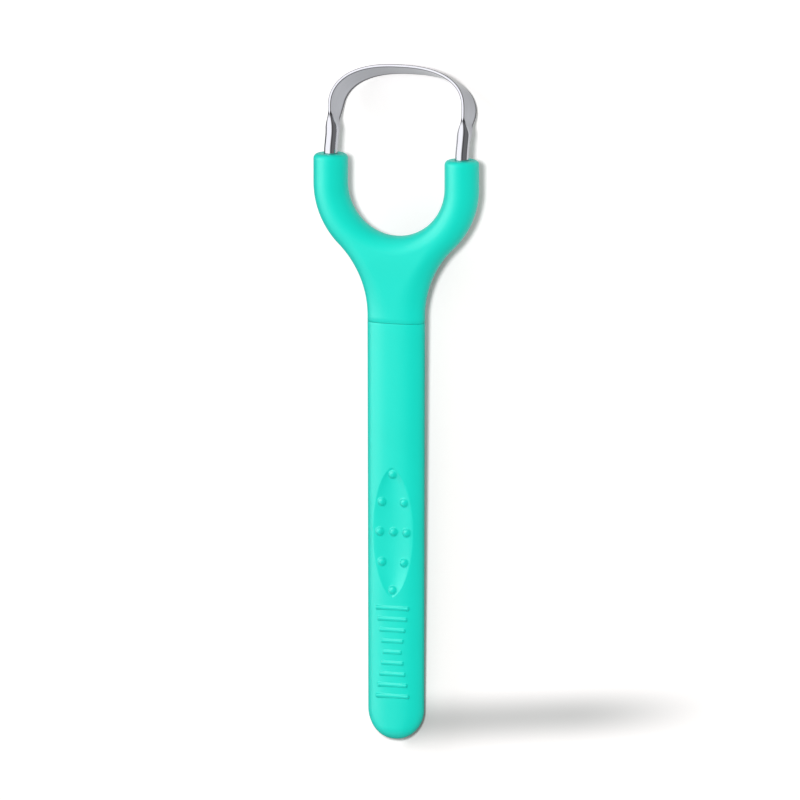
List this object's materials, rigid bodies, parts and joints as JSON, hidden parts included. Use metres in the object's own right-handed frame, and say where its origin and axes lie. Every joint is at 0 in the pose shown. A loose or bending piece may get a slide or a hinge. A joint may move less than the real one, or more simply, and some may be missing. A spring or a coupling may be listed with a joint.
{
  "type": "tongue scraper",
  "caption": "Tongue scraper: a polished steel loop in a forked, soft-covered head that plugs into a slim handle with a dished finger pad and grip ribs.",
  "frame": {"origin": "middle of the underside of its box, as it lies on its back with the finger pad up", "axes": "+X across the head, +Y from the tail towards the steel loop, +Z out of the finger pad"},
  "size_m": [0.043, 0.1704, 0.0175],
  "materials": {
    "polished_steel": "polished stainless steel with a faint lengthwise grain",
    "soft_cover": "satin, soft to the touch",
    "rigid_core": "plain moulded"
  },
  "bodies": {
    "handle": {"handle_core": "rigid_core", "handle_sleeve": "soft_cover"},
    "head": {"fork_core": "rigid_core", "fork_cover": "soft_cover", "scraper_blade": "polished_steel"}
  },
  "joints": [
    {"name": "head_pull", "type": "slide", "parent": "handle", "child": "head", "axis": [0, 1, 0], "range_m": [0, 0.024]}
  ]
}
